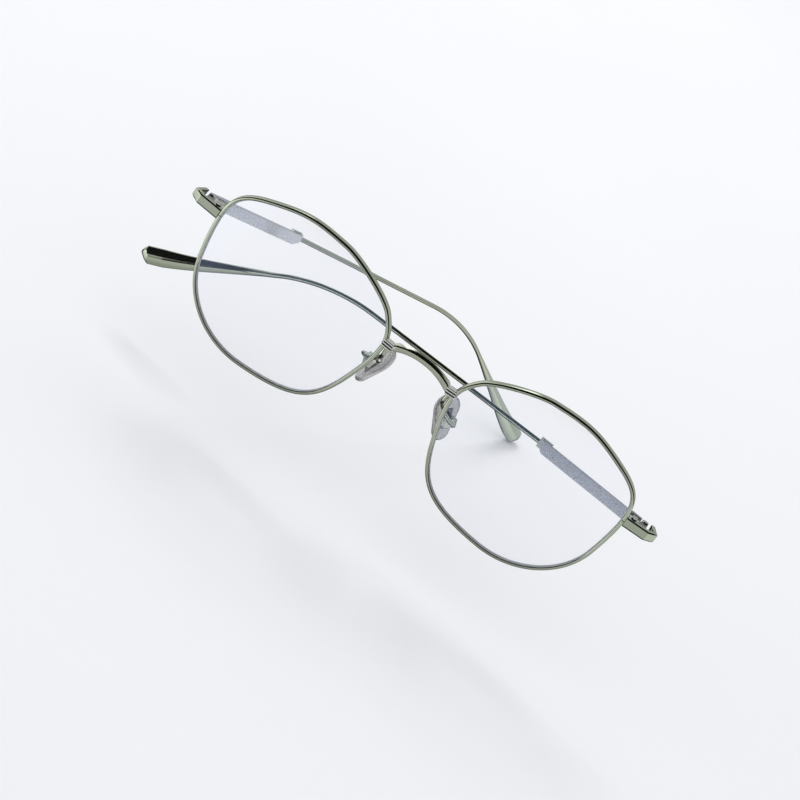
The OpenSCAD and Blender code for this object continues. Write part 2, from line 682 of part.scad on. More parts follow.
// Temple plate: a flat strip with a cut-off lower far corner and a low boss outside the hinge.
module temple_plate(side) {
  color(metal) temple_frame(side) union() {
    translate([plate_in, 0, 0]) rotate([90, 0, 90]) linear_extrude(plate_t) polygon([
      [plate_start, -plate_h / 2], [plate_end - corner_cut, -plate_h / 2],
      [plate_end, -plate_h / 2 + corner_cut * 0.8],
      [plate_end, plate_h / 2], [plate_start, plate_h / 2]
    ]);
    translate([plate_in + plate_t, plate_start + leaf_l * 0.6, -plate_h / 2 + boss_margin])
      cube([boss_t, boss_l, plate_h - 2 * boss_margin]);
  }
}

// The wire's own line: it leaves the ferrule with a slight slope below the plate.
module wire_frame(side) {
  temple_frame(side) translate([wire_n, wire_u, wire_a]) rotate([-wire_drop, 0, 0]) children();
}

// Ferrule: a block on the outside of the plate's far end that grips the wire.
module ferrule(side) {
  color(metal) difference() {
    temple_frame(side)
      translate([plate_in + plate_t, plate_end - ferrule_l + ferrule_past, wire_a - ferrule_h / 2])
        cube([ferrule_t, ferrule_l, ferrule_h]);
    wire_frame(side) translate([0, -seat, 0]) rotate([-90, 0, 0])
      cylinder(h = ferrule_l + over, d = wire_d + 2 * seat);
  }
}

// Temple wire: a round wire, straight and then bent down over the ear.
wire_sides = 16;
bend_steps = 20;
// Round section of the wire, s along its straight stretch and then at angle a round the bend.
function wire_ring(s, a) = [
  for (k = [0:wire_sides - 1]) let (
    q = wire_d / 2 * [cos(360 * k / wire_sides), sin(360 * k / wire_sides)],
    r = bend_r + q[1]
  ) [q[0], s + r * sin(a), r * cos(a) - bend_r]
];
module temple_wire(side) {
  rings = concat(
    [wire_ring(0, 0)],
    [for (k = [0:bend_steps]) wire_ring(wire_run, bend_angle * k / bend_steps)]
  );
  color(metal) wire_frame(side) rod_tube(rings);
}

// Temple tip: the wire's end, widened through a neck into a ridged paddle with a pointed end.
tip_corners = [[-0.5, -0.3], [0.08, -0.5], [0.5, -0.2], [0.5, 0.2], [0.08, 0.5], [-0.5, 0.3]];
function tip_corner(j) = let (k = floor(j / 2), a = wrap(tip_corners, k), b = wrap(tip_corners, k + 1))
  j % 2 == 0 ? a : (a + b) / 2;
function tip_share(t) = pow(t, 1.25);
// The tip lifts slightly again over its last stretch.
function tip_lift(s) = s < lift_from ? 0 : pow(s - lift_from, 2) * lift_curve;
tip_middle = [0.1, 0]; // the paddle shrinks towards this point of its section, in shares of its size
tip_shift = 0.08;      // the paddle's middle below the wire's, as a share of its height
// One ring of the tip: s along it, f how far the round wire has become the paddle, k the size.
function tip_ring(s, f, k) = [
  for (j = [11:-1:0]) let (
    c = tip_corner(j),
    q = unit([c[0] * tip_h / 2, c[1] * tip_t]),
    m = tip_middle * tip_h,
    p = (1 - f) * wire_d / 2 * q + f * k * ([c[0] * tip_h, c[1] * tip_t] - m) + f * m
  ) [p[1], s, p[0] - f * tip_h * tip_shift + tip_lift(s)]
];
neck_steps = 9;
tip_ends = [[1, 1], [0.45, 0.62], [0, 0.15]]; // the point's rings: share of its length left, size
module temple_tip(side) {
  rings = concat(
    [for (i = [0:neck_steps]) tip_ring(seat + neck_l * i / neck_steps, tip_share(i / neck_steps), 1)],
    [for (e = tip_ends) tip_ring(neck_l + tip_l - point_l * e[0], 1, e[1])]
  );
  color(metal) wire_frame(side) translate([0, wire_run, -bend_r]) rotate([-bend_angle, 0, 0])
    translate([0, 0, bend_r]) rod_tube(rings);
}

rim("left");  // rim_left
rim("right");  // rim_right
lens("left");  // lens_left
lens("right");  // lens_right
bridge();
collar("left");  // collar_left
collar("right");  // collar_right
pad_arm("left");  // pad_arm_left
pad_arm("right");  // pad_arm_right
pad_box("left");  // pad_box_left
pad_box("right");  // pad_box_right
pad_core("left");  // pad_core_left
pad_core("right");  // pad_core_right
nose_pad("left");  // nose_pad_left
nose_pad("right");  // nose_pad_right
pad_screws();
endpiece("left");  // endpiece_left
endpiece("right");  // endpiece_right
lock_upper("left");  // lock_upper_left
lock_upper("right");  // lock_upper_right
lock_lower("left");  // lock_lower_left
lock_lower("right");  // lock_lower_right
lock_screws();
hinge_front("left");  // hinge_front_left
hinge_front("right");  // hinge_front_right
hinge_temple("left");  // hinge_temple_left
hinge_temple("right");  // hinge_temple_right
hinge_screws();
temple_plate("left");  // temple_plate_left
temple_plate("right");  // temple_plate_right
ferrule("left");  // ferrule_left
ferrule("right");  // ferrule_right
temple_wire("left");  // temple_wire_left
temple_wire("right");  // temple_wire_right
temple_tip("left");  // temple_tip_left
temple_tip("right");  // temple_tip_right
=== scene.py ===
# %% [markdown]
# # Polygonal metal eyeglasses
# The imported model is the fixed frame. This script lays finer surfaces over its rims, lenses,
# bridge, pads, wires and tips, dresses every other piece, and sets up floor, light and camera.
# Lengths are worked out in millimetres and turned into metres when a mesh is made.

# %% Load the frame
import math
import bpy
import numpy as np
from mathutils import Matrix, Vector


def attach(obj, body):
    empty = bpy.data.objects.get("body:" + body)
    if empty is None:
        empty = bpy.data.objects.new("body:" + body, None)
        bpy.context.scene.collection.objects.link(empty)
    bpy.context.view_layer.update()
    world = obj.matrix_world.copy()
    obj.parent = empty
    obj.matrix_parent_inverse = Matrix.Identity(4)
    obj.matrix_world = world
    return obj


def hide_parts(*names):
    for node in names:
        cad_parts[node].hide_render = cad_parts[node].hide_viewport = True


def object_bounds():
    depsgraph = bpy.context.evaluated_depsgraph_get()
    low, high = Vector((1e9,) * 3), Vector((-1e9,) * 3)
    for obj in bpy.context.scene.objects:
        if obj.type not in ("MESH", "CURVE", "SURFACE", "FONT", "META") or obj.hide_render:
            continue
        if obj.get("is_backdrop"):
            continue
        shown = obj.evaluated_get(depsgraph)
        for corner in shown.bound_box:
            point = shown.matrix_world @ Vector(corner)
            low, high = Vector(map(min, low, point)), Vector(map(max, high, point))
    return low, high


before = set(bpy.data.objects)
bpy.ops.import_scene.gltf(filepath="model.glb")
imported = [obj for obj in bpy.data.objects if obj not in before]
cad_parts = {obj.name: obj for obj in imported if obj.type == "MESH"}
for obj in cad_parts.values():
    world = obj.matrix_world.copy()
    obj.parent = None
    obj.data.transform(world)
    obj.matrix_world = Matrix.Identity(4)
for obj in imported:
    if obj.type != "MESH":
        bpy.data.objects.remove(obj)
cad_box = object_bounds()
MM = 0.001

# %% [markdown]
# ## Sizes
# The same named values as in the part's source, in millimetres and degrees.
# x runs towards the wearer's left, -y out of the lens fronts and z up.

# %% Named sizes
LENS_W, LENS_H, BRIDGE_W, BASE_R, FACE_ANGLE, LENS_T = 49.6, 42.1, 20.4, 116, 4.3, 1.4
RIM_W, RIM_D, RIM_LEAN, RIM_BEVEL, GROOVE_D, GROOVE_W, LOCK_SLIT = 1.2, 1.8, 0.3, 0.35, 0.45, 1.0, 0.2
BRIDGE_Z, BRIDGE_BOW, BRIDGE_H, BRIDGE_GROWTH, BRIDGE_D = 9.95, 1.6, 1.7, 0.3, 1.4
FOOT_RISE, FOOT_FRONT, FOOT_FROM = 0.35, 0.2, 0.8
COLLAR_AT, RIB_T, RIB_GAP, RIB_CUT, RIB_OUT, COLLAR_REACH = 0.42, 0.5, 0.2, 0.2, 0.35, 2.2
PAD_L, PAD_W, PAD_LEAN, LOW_SHARE = 12.3, 7.3, 19, 0.34
PAD_AT = {"left": np.array([11.8, 6.2, -2.1]), "right": np.array([9.8, 6.2, -2.1])}
PAD_SPLAY = {"left": 42, "right": 15}
PAD_ROCK = {"left": -1, "right": 1}
PIN_X, BOX_BACK, ARM_D, ARM_LOOP, ARM_ASIDE, ARM_BEHIND = -1.2, 2.6, 1.0, 4.2, 0.3, 0.1
ARM_START, ARM_SWING = [-0.1, 0, -1.8], [-0.5, 1.4, -3.4]
ENDPIECE_Z = 6.35
HINGE, HINGE_TILT = (64.2602, 6.04296, 6.05), 11.5
FOLD = {"left": 7.8, "right": 46.6}
TEMPLE_L, STRAIGHT_L, BEND_R, BEND_ANGLE, WIRE_DROP, WIRE_D = 145.6, 83, 50, 28.6, 1.6, 1.2
PLATE_END, PLATE_T, PLATE_IN = 31.5, 1.0, 0.95
FERRULE_L, WIRE_A, WIRE_BED = 3.2, 0.3, 0.1
TIP_L, TIP_H, TIP_T, POINT_L, TIP_SHIFT = 6, 4.4, 2.6, 1.8, 0.08
LIFT_L, LIFT_CURVE = 17, 0.0035
SEAT = 0.02
LENS_X = (LENS_W + BRIDGE_W) / 2
DATUM_R = 20
CORNERS = [
    (0.538, 0.301, 1.74), (0.126, 0.518, 1.68), (-0.316, 0.478, 0.46),
    (-0.54, 0.185, 1.56), (-0.362, -0.453, 1.56), (0.408, -0.538, 0.73),
]

# %% [markdown]
# ## Small tools
# Rotations, rounded sections and solids made from rings of points.
# A solid is turned the right way out by the sign of its volume.

# %% Vectors, rings and meshes
def unit(v):
    """v / |v| along the last axis."""
    v = np.asarray(v, float)
    return v / np.linalg.norm(v, axis=-1, keepdims=True)


def turn(axis, degrees):
    """Rotation matrix about x, y or z, right-handed."""
    c, s = math.cos(math.radians(degrees)), math.sin(math.radians(degrees))
    i, j = {"x": (1, 2), "y": (2, 0), "z": (0, 1)}[axis]
    m = np.eye(3)
    m[i, i] = m[j, j] = c
    m[i, j], m[j, i] = -s, s
    return m


def rounded(corners, radius, arc=4, crown=0.0, split=3):
    """Closed section with each corner eased by q(t) = (1-t)^2 a + 2t(1-t) p + t^2 b, where a and b lie
    radius * tan(turn / 2) from the corner p, and each side bulged by 4 s (1 - s) * crown * its length."""
    p = np.asarray(corners, float)
    n = len(p)
    r = np.broadcast_to(radius, n)
    before, after = unit(np.roll(p, 1, 0) - p), unit(np.roll(p, -1, 0) - p)
    bend = np.arccos(np.clip(-(before * after).sum(1), -1, 1))
    cut = r * np.tan(bend / 2)
    area = 0.5 * (p[:, 0] * np.roll(p[:, 1], -1) - p[:, 1] * np.roll(p[:, 0], -1)).sum()
    out = []
    for i in range(n):
        a, b = p[i] + before[i] * cut[i], p[i] + after[i] * cut[i]
        for t in np.linspace(0, 1, arc + 1):
            out.append((1 - t) ** 2 * a + 2 * t * (1 - t) * p[i] + t * t * b)
        j = (i + 1) % n
        c = p[j] + before[j] * cut[j]
        side = c - b
        normal = np.array([side[1], -side[0]]) * np.sign(area)
        for s in np.linspace(0, 1, split + 2)[1:-1]:
            out.append(b + s * side + 4 * s * (1 - s) * crown * normal)
    return np.array(out)


def volume(verts, faces):
    """Signed volume, the sum over the faces' fans of a . (b x c) / 6."""
    total = 0.0
    for f in faces:
        a = verts[f[0]]
        for k in range(1, len(f) - 1):
            total += np.dot(a, np.cross(verts[f[k]], verts[f[k + 1]]))
    return total / 6


def loft(rings, poles=None):
    """Quads between successive rings of points, with a flat face, or a fan to a pole, at each end."""
    rings = np.asarray(rings, float)
    n, m = rings.shape[:2]
    i, j = np.meshgrid(np.arange(n - 1), np.arange(m), indexing="ij")
    k, l = i + 1, (j + 1) % m
    quads = np.stack([i * m + j, i * m + l, k * m + l, k * m + j], -1).reshape(-1, 4).tolist()
    verts = rings.reshape(-1, 3)
    if poles is not None:
        verts = np.concatenate([verts, poles])
        quads += [[(q + 1) % m, q, n * m] for q in range(m)]
        quads += [[(n - 1) * m + q, (n - 1) * m + (q + 1) % m, n * m + 1] for q in range(m)]
    else:
        quads += [list(range(m - 1, -1, -1)), [(n - 1) * m + q for q in range(m)]]
    if volume(verts, quads) < 0:
        quads = [q[::-1] for q in quads]
    return verts, quads


def side_of(points, side):
    """Points of the wearer's left side, mirrored in x for the right."""
    return np.asarray(points) * ([1, 1, 1] if side == "left" else [-1, 1, 1])


def make_piece(name, rings, body, material, replaces, sharp=40, poles=None):
    """Makes an object from rings in millimetres, smooth up to the angle sharp, that rides on its body."""
    verts, faces = loft(rings, poles)
    mesh = bpy.data.meshes.new(name)
    mesh.from_pydata((verts * MM).tolist(), [], faces)
    mesh.validate()
    mesh.shade_smooth()
    mesh.set_sharp_from_angle(angle=math.radians(sharp))
    mesh.materials.append(material)
    obj = bpy.data.objects.new(name, mesh)
    bpy.context.scene.collection.objects.link(obj)
    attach(obj, body)
    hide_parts(replaces)
    print(name, len(verts), "points", len(faces), "faces")
    return obj


def paint_gaps(obj, material, gaps, count):
    """Second material for the faces between rings i and i + 1, for each i in gaps.
    Each ring has count points."""
    obj.data.materials.append(material)
    for i in gaps:
        for polygon in obj.data.polygons[i * count:(i + 1) * count]:
            polygon.material_index = 1


# %% [markdown]
# ## Materials
# Polished plating and a copy of it darkened as painted shade, clear lens with its thin blue coating, smoky
# silicone and two dull surfaces, one of them near-black painted shade for grooves.
# Each has its own noise for colour, roughness and bump. Object coordinates are in metres.

# %% Material nodes
def new_material(name):
    """A material with its nodes, links, main shader and the object's own coordinates."""
    material = bpy.data.materials.new(name)
    material.use_nodes = True
    nodes, links = material.node_tree.nodes, material.node_tree.links
    shader = nodes["Principled BSDF"]
    where = nodes.new("ShaderNodeTexCoord").outputs["Object"]
    return material, nodes, links, shader, where


def noise(nodes, links, where, scale, detail=3.0):
    """Noise with features about 1 / scale metres across."""
    n = nodes.new("ShaderNodeTexNoise")
    n.inputs["Scale"].default_value = scale
    n.inputs["Detail"].default_value = detail
    links.new(where, n.inputs["Vector"])
    return n.outputs["Fac"]


def between(nodes, links, fac, low, high):
    """low + (high - low) * fac, with fac stretched from 0.3..0.7 to 0..1."""
    n = nodes.new("ShaderNodeMapRange")
    n.inputs["From Min"].default_value, n.inputs["From Max"].default_value = 0.3, 0.7
    n.inputs["To Min"].default_value, n.inputs["To Max"].default_value = low, high
    links.new(fac, n.inputs["Value"])
    return n.outputs["Result"]


def two_tone(nodes, links, fac, a, b):
    """Colour that goes from a to b with fac."""
    n = nodes.new("ShaderNodeValToRGB")
    n.color_ramp.elements[0].position, n.color_ramp.elements[1].position = 0.32, 0.68
    n.color_ramp.elements[0].color, n.color_ramp.elements[1].color = (*a, 1), (*b, 1)
    links.new(fac, n.inputs["Fac"])
    return n.outputs["Color"]


def bump(nodes, links, fac, shader, strength, distance):
    """Relief of fac, up to distance metres high."""
    n = nodes.new("ShaderNodeBump")
    n.inputs["Strength"].default_value, n.inputs["Distance"].default_value = strength, distance
    links.new(fac, n.inputs["Height"])
    links.new(n.outputs["Normal"], shader.inputs["Normal"])


def plated_metal(name, a, b, rough, wave=0.12, spread=0.4):
    """Mirror-like plating: cloudy tint 8 mm across, fine polish marks and a slight waviness."""
    material, nodes, links, shader, where = new_material(name)
    shader.inputs["Metallic"].default_value = 1.0
    cloud = noise(nodes, links, where, 120, 2)
    links.new(two_tone(nodes, links, cloud, a, b), shader.inputs["Base Color"])
    fine = noise(nodes, links, where, 2600, 4)
    links.new(between(nodes, links, fine, rough * (1 - spread), rough * (1 + spread)),
              shader.inputs["Roughness"])
    bump(nodes, links, noise(nodes, links, where, 350, 1), shader, wave, 0.00002)
    return material


GREEN = plated_metal("green plating", (0.44, 0.49, 0.38), (0.50, 0.545, 0.44), 0.08)
BRIGHT = plated_metal("bright plating", (0.58, 0.61, 0.56), (0.65, 0.67, 0.63), 0.09)
SATIN = plated_metal("satin plate", (0.64, 0.67, 0.73), (0.70, 0.73, 0.79), 0.28, 0.02, 0.12)
RIBS = plated_metal("ribbed plating", (0.68, 0.70, 0.66), (0.74, 0.75, 0.73), 0.07)
# Darker copy of the plating: painted shade for the hinge's front leaf in its hollow and for the pad's core
# under the silicone.
SHADE_DARKENED_PLATING = plated_metal("plating darkened as painted shade", (0.22, 0.22, 0.21), (0.30, 0.30, 0.29), 0.09)
STEEL = plated_metal("screw steel", (0.62, 0.62, 0.60), (0.70, 0.70, 0.68), 0.16)


def lens_material():
    """Clear plastic that lets the lamps' light through, with faint smears in its gloss."""
    material, nodes, links, shader, where = new_material("lens")
    tint = noise(nodes, links, where, 25, 1)
    links.new(two_tone(nodes, links, tint, (0.955, 0.965, 0.995), (0.975, 0.98, 1.0)),
              shader.inputs["Base Color"])
    smear = noise(nodes, links, where, 60, 2)
    links.new(between(nodes, links, smear, 0.0, 0.03), shader.inputs["Roughness"])
    shader.inputs["Transmission Weight"].default_value = 1.0
    shader.inputs["IOR"].default_value = 1.60
    shader.inputs["Specular Tint"].default_value = (0.50, 0.66, 1.0, 1)
    clear = nodes.new("ShaderNodeBsdfTransparent")
    clear.inputs["Color"].default_value = (0.93, 0.94, 0.96, 1)
    rays = nodes.new("ShaderNodeLightPath")
    mix = nodes.new("ShaderNodeMixShader")
    links.new(rays.outputs["Is Shadow Ray"], mix.inputs["Fac"])
    links.new(shader.outputs["BSDF"], mix.inputs[1])
    links.new(clear.outputs["BSDF"], mix.inputs[2])
    links.new(mix.outputs["Shader"], nodes["Material Output"].inputs["Surface"])
    return material


def silicone_material():
    """Smoky soft pad: part see-through, satin, slightly cloudy."""
    material, nodes, links, shader, where = new_material("silicone")
    cloud = noise(nodes, links, where, 120, 1)
    links.new(two_tone(nodes, links, cloud, (0.58, 0.57, 0.57), (0.68, 0.67, 0.67)),
              shader.inputs["Base Color"])
    satin = noise(nodes, links, where, 1500, 3)
    links.new(between(nodes, links, satin, 0.14, 0.22), shader.inputs["Roughness"])
    shader.inputs["Transmission Weight"].default_value = 0.75
    shader.inputs["IOR"].default_value = 1.40
    bump(nodes, links, noise(nodes, links, where, 300, 1), shader, 0.012, 0.00002)
    return material


def matte(name, a, b, rough):
    """Dull surface with a cloudy colour and a fine grain."""
    material, nodes, links, shader, where = new_material(name)
    cloud = noise(nodes, links, where, 400, 2)
    links.new(two_tone(nodes, links, cloud, a, b), shader.inputs["Base Color"])
    grain = noise(nodes, links, where, 2000, 3)
    links.new(between(nodes, links, grain, rough * 0.8, rough * 1.1), shader.inputs["Roughness"])
    bump(nodes, links, noise(nodes, links, where, 4000, 2), shader, 0.1, 0.00001)
    return material


LENS = lens_material()
GROUND = matte("ground lens edge", (0.80, 0.83, 0.86), (0.86, 0.88, 0.91), 0.6)
# Near-black painted shade for the floors of the collars' grooves.
SHADE = matte("groove shade", (0.02, 0.02, 0.018), (0.035, 0.035, 0.03), 0.5)
SILICONE = silicone_material()

# %% [markdown]
# ## The rims' outline
# Six corners are joined by conic arcs, (1-t)^2 A + 2t(1-t) w B + t^2 C over the sum of the weights.
# The outline lies on a sphere-like curve, depth = (r^2 - 20^2) / (2 R), and turns by the face angle.

# %% Outline and its frames
STEPS = 48


def corner_arc(i, t):
    """Point at t on the arc round corner i."""
    size = np.array([LENS_W, LENS_H])
    a, b, c = (np.array(CORNERS[(i + k) % 6][:2]) * size for k in (-1, 0, 1))
    w = CORNERS[i % 6][2]
    t = np.asarray(t, float)[..., None]
    top = (1 - t) ** 2 * (a + b) / 2 + 2 * t * (1 - t) * w * b + t * t * (b + c) / 2
    return top / ((1 - t) ** 2 + 2 * t * (1 - t) * w + t * t)


def face_turn(v):
    """Vectors turned from the lens's own axes by the face angle."""
    return np.asarray(v) @ turn("z", FACE_ANGLE).T


def lens_point(p):
    """Point of the lens curve above the flat point p."""
    p = np.asarray(p, float)
    depth = ((p ** 2).sum(-1) - DATUM_R ** 2) / (2 * BASE_R)
    return face_turn(np.stack([p[..., 0], depth, p[..., 1]], -1)) + [LENS_X, 0, 0]


def rim_frames(p, along):
    """Point, direction along the rim, away from the lens, and backwards."""
    p, along = np.asarray(p, float), unit(along)
    across = np.stack([along[..., 1], -along[..., 0]], -1)

    def slope(d):
        """The flat direction d laid onto the curve, whose rise is p . d / R."""
        rise = (p * d).sum(-1) / BASE_R
        return face_turn(unit(np.stack([d[..., 0], rise, d[..., 1]], -1)))

    t, o = slope(along), slope(across)
    o = unit(o - (o * t).sum(-1, keepdims=True) * t)
    n = unit(np.cross(t, o))
    n = np.where(n[..., 1:2] > 0, n, -n)
    return lens_point(p), t, o, n


outline = np.concatenate([corner_arc(i, np.arange(STEPS) / STEPS) for i in range(6)])
along = unit(np.roll(outline, -1, 0) - np.roll(outline, 1, 0))
print("outline", len(outline), "points,", np.ptp(outline, 0).round(2), "mm")

# %% [markdown]
# ## Rims
# A grooved wire whose front is rounded: a steep outer shoulder, a narrow face and a round inner edge.
# It runs from one side of the lock's slit round to the other.

# %% Rims
SHOULDER_AT = RIM_D * 0.3
FRONT_LEAN = RIM_LEAN + 0.06
INNER_BEVEL = 0.18
rim_corners = [
    (RIM_W / 2, SHOULDER_AT), (RIM_W / 2 - FRONT_LEAN, -RIM_D / 2), (-RIM_W / 2, -RIM_D / 2),
    (-RIM_W / 2, -GROOVE_W / 2), (-RIM_W / 2 + GROOVE_D, 0), (-RIM_W / 2, GROOVE_W / 2),
    (-RIM_W / 2, RIM_D / 2 - INNER_BEVEL), (-RIM_W / 2 + INNER_BEVEL, RIM_D / 2),
    (RIM_W / 2 - RIM_BEVEL, RIM_D / 2), (RIM_W / 2, RIM_D / 2 - RIM_BEVEL),
]
rim_radii = [0.04, 0.44, 0.38, 0.03, 0.05, 0.03, 0.06, 0.06, 0.08, 0.008]
rim_section = rounded(rim_corners, rim_radii, arc=7, crown=0.01)


def rim_rings():
    """Rings round the lens, the first and last sheared onto the two faces of the slit."""
    point, t, o, n = rim_frames(outline, along)
    right = (point[:, 0] > LENS_X)
    up_to = np.where(right & (point[:, 2] > ENDPIECE_Z) & (np.roll(point[:, 2], -1) <= ENDPIECE_Z))[0]
    down_to = np.where(right & (point[:, 2] < ENDPIECE_Z) & (np.roll(point[:, 2], -1) >= ENDPIECE_Z))[0]
    start = (int((up_to if len(up_to) else down_to)[0]) + 1) % len(point)
    order = (start + np.arange(len(point))) % len(point)
    wide, deep = rim_section[None, :, :1], rim_section[None, :, 1:]
    rings = point[order, None] + wide * o[order, None] + deep * n[order, None]
    rings = rings[1:-1]
    for end, near in ((0, order[0]), (-1, order[-1])):
        z = ENDPIECE_Z + LOCK_SLIT / 2 * np.sign(rings[end][:, 2].mean() - ENDPIECE_Z)
        slide = (z - rings[end][:, 2:3]) / t[near][2]
        cut = rings[end] + slide * t[near]
        rings = np.concatenate([cut[None], rings]) if end == 0 else np.concatenate([rings, cut[None]])
    return rings


for side in ("left", "right"):
    make_piece("rim_wire_" + side, side_of(rim_rings(), side), "front", GREEN,
               "rim_" + side)

# %% [markdown]
# ## Lenses
# Concentric rings from the middle outwards on the front, over the bevelled edge, and back on the rear.
# The edge sits in the rim's groove.

# %% Lenses
LENS_EASE, RIDGE_EASE, BEVEL_CLEAR = 0.06, 0.1, 0.12
LENS_RINGS, EDGE_GAPS = 27, 6


def lens_rings():
    """Rings of the front face, the edge's seven rings and the back face, and the two faces' middles."""
    point, t, o, n = rim_frames(outline, along)
    across = np.stack([along[:, 1], -along[:, 0]], -1)
    edge = RIM_W / 2 + SEAT
    flat = outline - edge * across
    half = LENS_T / 2
    shares = np.linspace(0.03, 0.985, LENS_RINGS)
    front = [lens_point(s * flat) - half * n for s in shares]
    back = [lens_point(s * flat) + half * n for s in shares[::-1]]
    profile = [(-edge - LENS_EASE, -half), (-edge, -half + LENS_EASE), (-edge, -GROOVE_W / 2 + RIDGE_EASE),
               (-RIM_W / 2 + GROOVE_D - BEVEL_CLEAR, 0), (-edge, GROOVE_W / 2 - RIDGE_EASE),
               (-edge, half - LENS_EASE), (-edge - LENS_EASE, half)]
    rim = [point + a * o + b * n for a, b in profile]
    middle, facing = lens_point([0.0, 0.0]), face_turn([0, 1, 0])
    return np.array(front + rim + back), np.array([middle - half * facing, middle + half * facing])


for side in ("left", "right"):
    rings, poles = lens_rings()
    lens = make_piece("lens_clear_" + side, side_of(rings, side), "front", LENS,
                      "lens_" + side, sharp=30, poles=side_of(poles, side))
    paint_gaps(lens, GROUND, range(LENS_RINGS, LENS_RINGS + EDGE_GAPS), len(outline))

# %% [markdown]
# ## Bridge
# The bar's middle line runs from foot to foot with u from -1 to 1: x = -f u, y follows u^2
# and z follows |u|^2.2. Its section has a flat front, a bevel, a sloping top and a back.

# %% Bridge
ca_dir = unit(np.array([0.1, -1.0]))
collar_flat = corner_arc(3, COLLAR_AT)
C0, C_ALONG, C_OUT, C_BACK = rim_frames(collar_flat, ca_dir)
COLLAR_W = 3 * RIB_T + 2 * RIB_GAP
foot_up = COLLAR_W / 2 - BRIDGE_H * (1 + BRIDGE_GROWTH) / 2 + FOOT_RISE
FOOT = C0 + (COLLAR_REACH + SEAT) * C_OUT - foot_up * C_ALONG - BRIDGE_D * FOOT_FRONT * C_BACK
bar_shares = np.array([(-0.42, 0.5), (0.58, 0.5), (0.42, -0.3), (0.26, -0.5), (-0.36, -0.5)])
bar_section = rounded(bar_shares * [BRIDGE_H, BRIDGE_D], [0.1, 0.12, 0.07, 0.07, 0.12], arc=5, crown=0.02)


def bridge_point(u):
    """Middle line of the bar."""
    u = np.asarray(u, float)
    return np.stack([-FOOT[0] * u, FOOT[1] + (-BRIDGE_BOW - FOOT[1]) * (1 - u * u),
                     BRIDGE_Z + (FOOT[2] - BRIDGE_Z) * np.abs(u) ** 2.2], -1)


def bridge_rings():
    """At the feet the rings turn, over the last fifth, into the collars' faces."""
    rings = []
    for u in np.linspace(-1, 1, 121):
        t = unit(bridge_point(u + 0.01) - bridge_point(u - 0.01))
        end = C_OUT if u < 0 else C_OUT * [1, -1, -1]
        share = np.clip((abs(u) - FOOT_FROM) / (1 - FOOT_FROM), 0, 1)
        t = unit((1 - share) * t + share * end)
        w = unit(np.array([0, 1, 0]) - t[1] * t)
        v = np.cross(w, t)
        grow = 1 + BRIDGE_GROWTH * u * u
        rings.append(bridge_point(u) + bar_section[:, :1] * grow * v + bar_section[:, 1:] * w)
    return np.array(rings)


make_piece("bridge_bar", bridge_rings(), "front", GREEN, "bridge")

# %% [markdown]
# ## Collars
# Three rounded ribs with grooves between them, whose floors are painted near-black as shade. Each ring is
# a rounded oblong, drawn in by the groove's depth, and the rings follow one another along the rim.

# %% Collars
def oblong(x0, x1, y0, y1, r):
    """Rounded oblong with eased corners."""
    return rounded([(x0, y0), (x1, y0), (x1, y1), (x0, y1)], r, arc=5, split=2)


RIB_COUNT, RIB_ROUND, QUARTER = 3, 0.13, 6
COLLAR_IN, COLLAR_ROUND, GROOVE_STEP = 0.08, 0.3, 0.01


def collar_rings():
    """Rings by a profile of (place along the rim, inset): a quarter circle up and one down for each rib,
    and two rings for the floor of each groove."""
    deep = RIM_D / 2 + RIB_OUT
    profile = []
    for k in range(RIB_COUNT):
        a = -COLLAR_W / 2 + k * (RIB_T + RIB_GAP)
        angles = [math.radians(q) for q in np.linspace(0, 90, QUARTER)]
        rise = [(RIB_ROUND * (1 - math.cos(q)), RIB_ROUND * (1 - math.sin(q))) for q in angles]
        profile += [(a + step, inset) for step, inset in rise]
        profile += [(a + RIB_T - step, inset) for step, inset in rise[::-1]]
        if k < RIB_COUNT - 1:
            profile += [(a + RIB_T + GROOVE_STEP, RIB_CUT), (a + RIB_T + RIB_GAP - GROOVE_STEP, RIB_CUT)]
    rings = []
    for a, inset in profile:
        x0, x1, y0, y1 = -RIM_W / 2 + COLLAR_IN, COLLAR_REACH - inset * 0.5, -deep + inset, deep - inset
        s = oblong(x0, x1, y0, y1, COLLAR_ROUND)
        rings.append(C0 + a * C_ALONG + s[:, :1] * C_OUT + s[:, 1:] * C_BACK)
    return np.array(rings)


RIB_STEP = 2 * QUARTER + 2
groove = range(2 * QUARTER - 2, 2 * QUARTER + 3)
groove_gaps = [k * RIB_STEP + i for k in range(RIB_COUNT - 1) for i in groove]
for side in ("left", "right"):
    ribs = collar_rings()
    collar = make_piece("collar_ribs_" + side, side_of(ribs, side), "front", RIBS,
                        "collar_" + side, sharp=50)
    # The groove faces get the near-black painted shade.
    paint_gaps(collar, SHADE, groove_gaps, ribs.shape[1])

# %% [markdown]
# ## Pad arms
# A wire leaves the rim just under the collar and loops back to the pad's box on a cubic curve,
# (1-u)^3 a + 3u(1-u)^2 b + 3u^2(1-u) c + u^3 d.
# The tube's frames are carried along the path without twist.

# %% Tubes and pad arms
def tube(path, radius, sides=20):
    """Rings of a round wire along a path; each ring's frame is the last one, turned with the path."""
    path = np.asarray(path, float)
    t = unit(np.gradient(path, axis=0))
    v = unit(np.cross(t[0], [0.3, 1, 0.2]))
    rings = []
    q = np.linspace(0, 2 * math.pi, sides, endpoint=False)
    r = np.broadcast_to(radius, len(path))
    for c, d, k in zip(path, t, r):
        v = unit(v - (v * d).sum() * d)
        w = np.cross(d, v)
        rings.append(c + k * (np.cos(q)[:, None] * v + np.sin(q)[:, None] * w))
    return np.array(rings)


